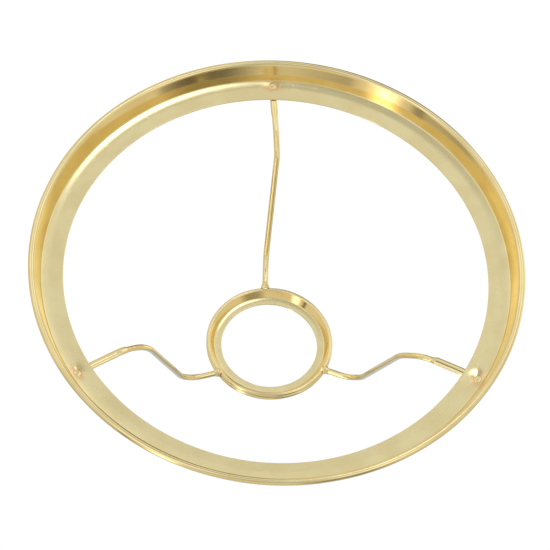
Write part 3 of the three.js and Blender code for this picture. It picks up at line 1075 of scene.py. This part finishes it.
class MakeBrazes(bpy.types.Operator):
    """Make the filler metal round the arms' tips"""

    bl_idname = "shade_ring.make_brazes"
    bl_label = "Make Brazing"

    def execute(self, context):
        size = settings()
        wire = size.arm.wire / 2
        section = [
            (0, -1.2 * MM),
            (wire * 0.8, -1.1 * MM),
            (wire + size.braze.root, -0.5 * MM),
            (wire + size.braze.root * 0.9, 0.1 * MM),
            (wire + size.braze.root * 0.35, size.braze.run * 0.45),
            (wire + size.braze.root * 0.1, size.braze.run * 0.8),
            (wire - 0.05 * MM, size.braze.run),
            (0, size.braze.run),
        ]
        for side, shape in ARMS.items():
            braze = turned_piece(f"braze_lump_{side}", section, RIVET_STEPS, braze_fillet(), closed=False)
            line = arm_line(shape["offsets"])
            near = np.argsort(np.abs(line[:, 0] - size.hub.radius))[0]
            start, along = Vector(line[near]), Vector(line[near - 8] - line[near]).normalized()
            turn = along.to_track_quat("Z", "Y").to_matrix()
            points = read_points(braze)
            swell = 1 + unevenness(points + shape["azimuth"] * MM, 1.5 * MM, 0.3)
            points = points * np.column_stack([swell, swell, np.ones(len(points))])
            points = points @ np.array(turn.transposed()) + np.array(start)
            write_points(braze, turn_points(points, math.radians(shape["azimuth"])))
            hand_over(braze, "braze_fillet", f"braze_{side}")
        return {"FINISHED"}


class MakeStage(bpy.types.Operator):
    """Make the camera, the floor and the light"""

    bl_idname = "shade_ring.make_stage"
    bl_label = "Make Stage"

    def execute(self, context):
        size = settings().stage
        scene = context.scene
        scene.view_settings.view_transform = "Standard"
        camera = bpy.data.objects.new("camera", bpy.data.cameras.new("camera"))
        scene.collection.objects.link(camera)
        scene.camera = camera
        camera.data.lens = size.lens
        camera.data.sensor_width = 36
        camera.data.clip_end = 50
        a, e, roll = size.azimuth, size.elevation, size.roll
        back = Vector((math.sin(a) * math.cos(e), -math.cos(a) * math.cos(e), math.sin(e)))
        level = Vector((math.cos(a), math.sin(a), 0))
        upright = back.cross(level)
        right = math.cos(roll) * level + math.sin(roll) * upright
        up = back.cross(right)
        aim = Vector((0, 0, settings().rim.top - settings().rim.bead / 2))
        aim -= right * size.aim_left + up * size.aim_down
        turn = Matrix((right, up, back)).transposed().to_4x4()
        camera.matrix_world = Matrix.Translation(aim + back * size.distance) @ turn

        floor = bpy.data.objects.new("floor", bpy.data.meshes.new("floor"))
        half = size.floor / 2
        floor.data.from_pydata(
            [(-half, -half, 0), (half, -half, 0), (half, half, 0), (-half, half, 0)], [], [(0, 1, 2, 3)]
        )
        scene.collection.objects.link(floor)
        floor.location.z = -size.floor_gap
        floor.data.materials.append(floor_white())
        floor.visible_glossy = False
        scene.world = studio_world()
        return {"FINISHED"}


def floor_white():
    material = bpy.data.materials.new("floor_white")
    material.use_nodes = True
    sheet = NodeSheet(material.node_tree)
    material.node_tree.nodes.clear()
    glow = sheet.add("ShaderNodeEmission", {"Color": WHITE, "Strength": BACKDROP})
    output = sheet.add("ShaderNodeOutputMaterial")
    sheet.feed(output.inputs["Surface"], glow.outputs[0])
    return material


# What the metal mirrors: soft panels in an even room. The camera itself sees plain white instead. Each panel
# has its azimuth, from X towards Y, and its elevation, its half width and half height and the softness of its
# edges, all in degrees, and then how much brighter or darker than the room it is.
ROOM = 0.8
DARKEST = 0.04
BACKDROP = 1.02  # strength of the white behind and under the object
WARM_WALLS = (1, 0.87, 0.66, 1)
COOL_TABLE = (0.9, 0.98, 1.3, 1)
PANELS = {
    "tall window": (230, 0, 3, 30, 6, 2.6),
    "overhead lamp": (70, 65.5, 2.6, 3.6, 2, 3.2),
    "dark beam": (88, 66, 14, 4.5, 2.5, -0.27),
    "dark wall behind": (75, 0, 12, 18, 6, -0.6),
    "dark doorway": (297, 0, 14, 30, 9, -0.42),
    "dark post": (215, -8, 2.5, 14, 2, -0.65),
    "dark ceiling beam": (103, 76, 6, 4, 2.5, -0.75),
    "ceiling lamp": (200, 80, 10, 6, 5, 0.3),
    "side screen": (217, 55, 13, 14, 6, 0.45),
    "camera stand": (265, 55, 20, 20, 10, -0.25),
    "white screen": (315, 45, 12, 15, 8, 0.45),
    "back screen": (125, 50, 10, 20, 8, 0.25),
    "back window": (45, 45, 20, 10, 8, 0.4),
    "dark cupboard": (69, -18, 9, 14, 5, -0.5),
    "low screen": (30, -15, 15, 20, 8, 0.4),
    "left screen": (155, 35, 20, 5, 8, 0.4),
    "dark skirting": (280, -25, 35, 5, 3, -0.35),
    "dark cable": (200, -25, 15, 3, 8, -0.5),
    "table": (0, -90, 55, 55, 6, -0.1),
    "left shade on the table": (197, -44, 20, 12, 8, -0.2),
    "right shade on the table": (346, -50, 20, 12, 8, -0.2),
}


def studio_world():
    world = bpy.data.worlds.new("studio")
    world.use_nodes = True
    world.node_tree.nodes.clear()
    sheet = NodeSheet(world.node_tree)
    way = sheet.add("ShaderNodeTexCoord").outputs["Generated"]
    light = ROOM
    for *angles, strength in PANELS.values():
        mask = effect(sheet, "Soft Panel", way, **dict(zip(PANEL_ANGLES, map(math.radians, angles))))["Mask"]
        light = sheet.math("ADD", light, sheet.math("MULTIPLY", mask, strength))
    light = sheet.math("MAXIMUM", light, DARKEST)
    seen = sheet.add("ShaderNodeLightPath").outputs["Is Camera Ray"]
    height = sheet.add("ShaderNodeSeparateXYZ", {0: way}).outputs[2]
    level = sheet.band(sheet.math("ABSOLUTE", height), 0.75, 0.45)
    tint = sheet.blend(level, WHITE, WARM_WALLS)
    tint = sheet.blend(sheet.band(height, -0.6, -0.85), tint, COOL_TABLE)
    shine = sheet.add("ShaderNodeBackground", {"Color": tint, "Strength": light})
    plain = sheet.add("ShaderNodeBackground", {"Color": WHITE, "Strength": BACKDROP})
    mix = sheet.add("ShaderNodeMixShader", {0: seen, 1: shine.outputs[0], 2: plain.outputs[0]})
    output = sheet.add("ShaderNodeOutputWorld")
    sheet.feed(output.inputs["Surface"], mix.outputs[0])
    return world


class ShadeRingPanel(bpy.types.Panel):
    """Sizes, finish and the buttons that make the pieces"""

    bl_idname = "VIEW3D_PT_shade_ring"
    bl_label = "Shade Ring"
    bl_space_type = "VIEW_3D"
    bl_region_type = "UI"
    bl_category = "Shade Ring"

    def draw(self, context):
        for group_name in ShadeRingSettings.__annotations__:
            group = getattr(context.scene.shade_ring, group_name)
            box = self.layout.box()
            box.label(text=group_name.capitalize())
            for setting in group.__annotations__:
                box.prop(group, setting)
        for operator in OPERATORS:
            self.layout.operator(operator.bl_idname)


SETTINGS = (RimSizes, HubSizes, ArmSizes, RivetSizes, BrazeSizes, FinishLooks, StageSizes, ShadeRingSettings)
OPERATORS = (MakeRim, MakeHub, MakeArms, MakeRivets, MakeBrazes, MakeStage)


def register():
    for item in (*SETTINGS, *OPERATORS, ShadeRingPanel):
        bpy.utils.register_class(item)
    bpy.types.Scene.shade_ring = bpy.props.PointerProperty(type=ShadeRingSettings)


def unregister():
    del bpy.types.Scene.shade_ring
    for item in reversed((*SETTINGS, *OPERATORS, ShadeRingPanel)):
        bpy.utils.unregister_class(item)


def main():
    register()
    for operator in OPERATORS:
        group, name = operator.bl_idname.split(".")
        getattr(getattr(bpy.ops, group), name)()


if __name__ == "__main__":
    main()
